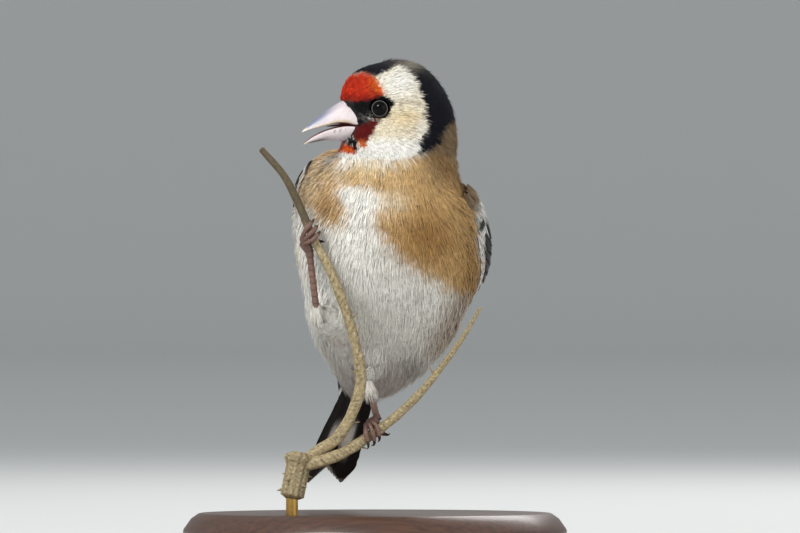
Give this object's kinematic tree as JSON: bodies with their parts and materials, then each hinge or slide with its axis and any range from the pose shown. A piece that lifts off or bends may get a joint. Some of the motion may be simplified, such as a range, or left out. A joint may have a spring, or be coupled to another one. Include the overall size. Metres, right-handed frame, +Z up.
{
  "type": "songbird display model",
  "caption": "Life-size still model of a goldfinch clinging upright to two teasel bracts on a cut stem, held by a rod on a round base.",
  "frame": {"origin": "middle of the stand's flat underside", "axes": "+Z up, -Y towards the viewer of the reference view, +X to that viewer's right"},
  "size_m": [0.096, 0.096, 0.1213],
  "materials": {
    "plumage_head": "soft",
    "plumage_body": "soft",
    "wing_feathers": "satin",
    "tail_feathers": "satin",
    "eye": "polished",
    "bill": "satin",
    "tongue": "satin",
    "leg_skin": "satin",
    "teasel": "matte",
    "base_wood": "satin",
    "rod_brass": "satin"
  },
  "bodies": {
    "root": {"head": "plumage_head", "neck": "plumage_body", "torso": "plumage_body", "eye_left": "eye", "wing_left": "wing_feathers", "eye_right": "eye", "wing_right": "wing_feathers", "bill_upper": "bill", "bill_lower": "bill", "tongue": "tongue", "tail": "tail_feathers", "thigh_right": "plumage_body", "tarsus_right": "leg_skin", "foot_right": "leg_skin", "thigh_left": "plumage_body", "tarsus_left": "leg_skin", "foot_left": "leg_skin", "perch_stem": "teasel", "perch_bract_long": "teasel", "perch_bract_low": "teasel", "stand_base": "base_wood", "stand_rod": "rod_brass"}
  },
  "joints": []
}
